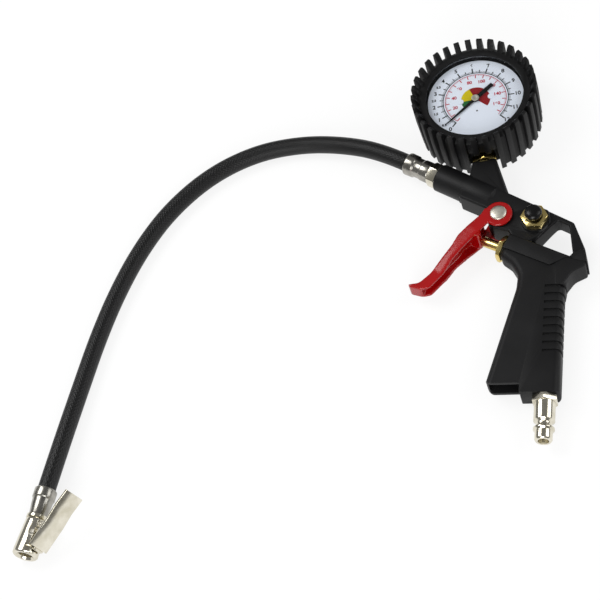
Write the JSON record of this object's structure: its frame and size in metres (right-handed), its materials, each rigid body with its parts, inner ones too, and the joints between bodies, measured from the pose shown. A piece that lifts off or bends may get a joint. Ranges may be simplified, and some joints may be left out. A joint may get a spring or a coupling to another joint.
{
  "type": "portable tire inflator",
  "caption": "Pistol-grip tyre inflator with a dial gauge in a ribbed rubber boot, a squeeze lever, a bleed button and a hose that ends in a clip-on chuck.",
  "frame": {"origin": "bottom centre of the gun without its hose and chuck, on the surface it lies on", "axes": "+Z is the normal of the gun's flat side, the side the dial faces; +Y runs up the grip to the gauge; +X points to the rear of the grip"},
  "size_m": [0.3181, 0.3262, 0.0354],
  "materials": {
    "casting": "satin",
    "grip": "satin",
    "lever": "gloss",
    "brass": "satin",
    "steel": "satin",
    "spring_steel": "satin",
    "nickel": "satin",
    "ferrule": "satin",
    "boot": "satin",
    "hose": "satin",
    "seal": "matte",
    "cap": "gloss",
    "case": "satin",
    "window": "clear",
    "dial": "matte",
    "pointer": "matte",
    "tube": "satin"
  },
  "bodies": {
    "gun": {"gun_body": "casting", "handle_grip": "grip", "air_tube": "tube", "inlet_bush": "brass", "inlet_nipple": "nickel", "valve_collar": "brass", "valve_seat": "brass", "pin_seal": "seal", "valve_spring": "spring_steel", "lever_pin": "steel", "bleed_nut": "brass", "bleed_spring": "spring_steel", "rubber_boot": "boot", "gauge_case": "case", "gauge_bezel": "case", "gauge_window": "window", "gauge_dial": "dial", "dial_screws": "steel", "gauge_socket": "brass", "bourdon_tube": "brass", "bourdon_tip": "brass", "movement_back_plate": "brass", "movement_front_plate": "brass", "hairspring": "brass", "hose_fitting": "nickel", "gun_ferrule": "ferrule", "hose": "hose", "chuck_ferrule": "ferrule", "chuck_tail": "nickel", "chuck_body": "nickel", "chuck_seal": "seal", "chuck_core_pin": "brass", "chuck_hinge_pin": "steel", "chuck_spring": "spring_steel"},
    "trigger": {"trigger_lever": "lever"},
    "valve": {"valve_pin": "brass", "valve_poppet": "brass", "poppet_washer": "seal"},
    "bleed": {"bleed_button": "cap", "bleed_stem": "brass", "bleed_washer": "seal"},
    "pointer": {"gauge_pointer": "pointer", "pinion_arbor": "brass"},
    "sector": {"sector_gear": "brass"},
    "clip": {"chuck_lever": "nickel"}
  },
  "joints": [
    {"name": "trigger_squeeze", "type": "hinge", "parent": "gun", "child": "trigger", "pos_m": [0.00458, 0.01388, 0.01], "axis": [0, 0, 1], "range_deg": [0, 14.5], "stiffness_Nm_per_rad": 0.4, "springref_deg": -17.19},
    {"name": "valve_slide", "type": "slide", "parent": "gun", "child": "valve", "axis": [0.8988, -0.4384, 0], "range_m": [0, 0.0041], "deforming": ["valve_spring"]},
    {"name": "bleed_press", "type": "slide", "parent": "gun", "child": "bleed", "axis": [0, 0, -1], "range_m": [0, 0.0014], "stiffness_N_per_m": 800, "springref_m": -0.002, "deforming": ["bleed_spring"]},
    {"name": "sector_swing", "type": "hinge", "parent": "gun", "child": "sector", "pos_m": [-0.0144, 0.10538, 0.019], "axis": [0, 0, 1], "range_deg": [0, 48.36], "stiffness_Nm_per_rad": 0.002, "springref_deg": -17.19},
    {"name": "pointer_sweep", "type": "hinge", "parent": "gun", "child": "pointer", "pos_m": [-0.01212, 0.09248, 0.025], "axis": [0, 0, -1], "range_deg": [0, 266]},
    {"name": "chuck_clamp", "type": "hinge", "parent": "gun", "child": "clip", "pos_m": [-0.24692, -0.18365, 0.01041], "axis": [-0.4336, 0.0648, 0.8988], "range_deg": [0, 18], "stiffness_Nm_per_rad": 0.3, "springref_deg": -17.19, "deforming": ["chuck_spring"]}
  ],
  "couplings": [
    {"joint": "valve_slide", "follows": "trigger_squeeze", "m_per_rad": 0.016},
    {"joint": "pointer_sweep", "follows": "sector_swing", "ratio": 5.5}
  ]
}
